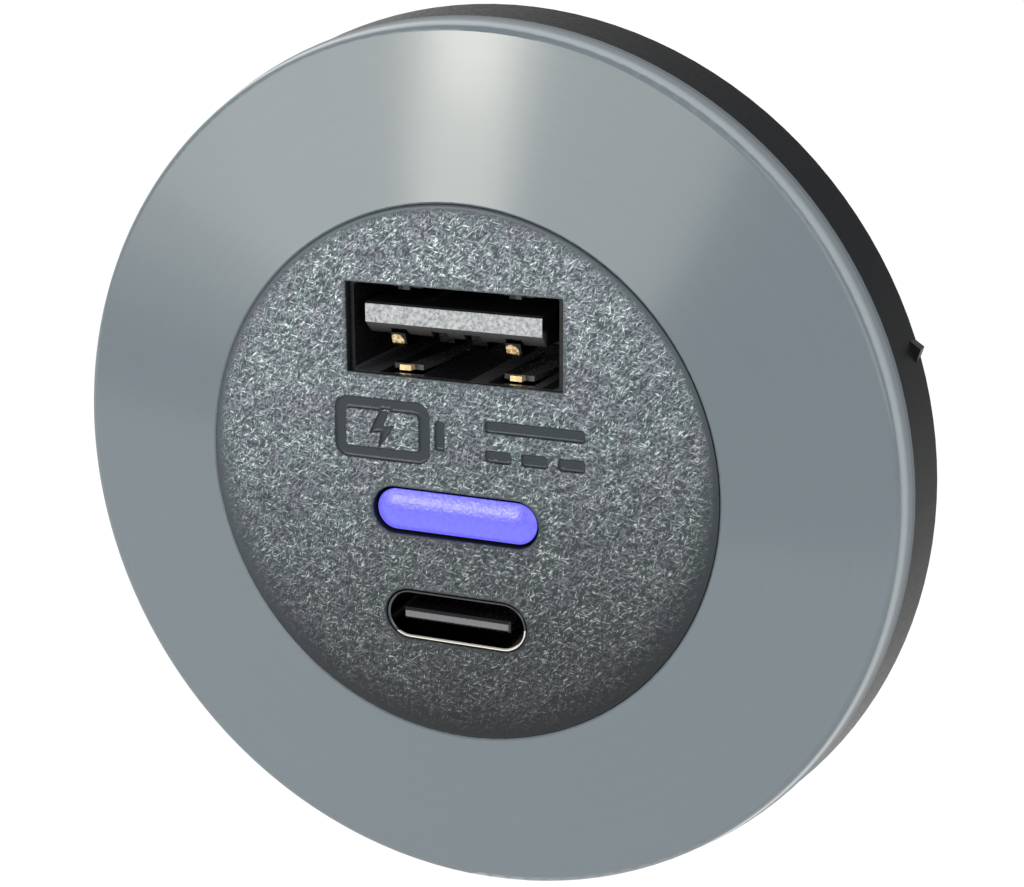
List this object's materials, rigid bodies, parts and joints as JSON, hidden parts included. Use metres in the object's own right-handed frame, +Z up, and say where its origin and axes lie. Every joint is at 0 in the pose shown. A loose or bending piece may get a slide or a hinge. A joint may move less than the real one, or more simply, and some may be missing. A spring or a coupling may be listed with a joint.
{
  "type": "vehicle panel charging socket",
  "caption": "Round panel-mounted charging socket with a rectangular and an oval port, a lit window and a clipped cover ring over a screwed base ring.",
  "frame": {"origin": "centre of the screw circle and of the panel hole, on the front surface of the panel", "axes": "+Y along the barrel into the panel, the face looks toward -Y, +Z up with the rectangular port above the oval one, +X to the right of someone who faces it"},
  "size_m": [0.0516, 0.0404, 0.0516],
  "materials": {
    "grey_trim": "glossy moulded ABS in a cool mid grey",
    "black_base": "black moulded ABS, fine matte",
    "black_housing": "black moulded plastic, coarse spark-eroded grain",
    "diffuser": "translucent polycarbonate, lit violet-blue",
    "port_steel": "nickel-plated steel sheet",
    "port_plastic_a": "pale grey glass-filled plastic",
    "port_plastic_c": "black glass-filled plastic",
    "gilt_contact": "gold-flashed copper alloy",
    "circuit_board": "glass-epoxy board under green solder mask",
    "lamp_chip": "white lamp package",
    "chip_body": "black moulding compound",
    "spacer_nylon": "natural nylon",
    "ferrite": "dark grey ferrite",
    "capacitor_can": "satin aluminium can",
    "ceramic_chip": "tan ceramic",
    "tinned_brass": "tin-plated brass"
  },
  "bodies": {
    "root": {"cover_ring": "grey_trim", "base_ring": "black_base", "front_housing": "black_housing", "light_pipe": "diffuser", "usb_a_shell": "port_steel", "usb_a_insulator": "port_plastic_a", "usb_a_contact_1": "gilt_contact", "usb_a_contact_2": "gilt_contact", "usb_a_contact_3": "gilt_contact", "usb_a_contact_4": "gilt_contact", "usb_c_shell": "port_steel", "usb_c_insulator": "port_plastic_c", "usb_c_mid_plate": "port_steel", "usb_c_upper_contacts": "gilt_contact", "usb_c_lower_contacts": "gilt_contact", "port_board": "circuit_board", "status_led": "lamp_chip", "charge_controller": "chip_body", "board_spacer": "spacer_nylon", "header_block": "port_plastic_c", "header_pins": "gilt_contact", "power_board": "circuit_board", "buck_regulator": "chip_body", "power_inductor": "ferrite", "input_capacitor": "capacitor_can", "output_capacitors": "ceramic_chip", "input_fuse": "ceramic_chip", "surge_diode": "chip_body", "terminal_positive": "tinned_brass", "terminal_negative": "tinned_brass", "rear_cap": "black_base"}
  },
  "joints": []
}
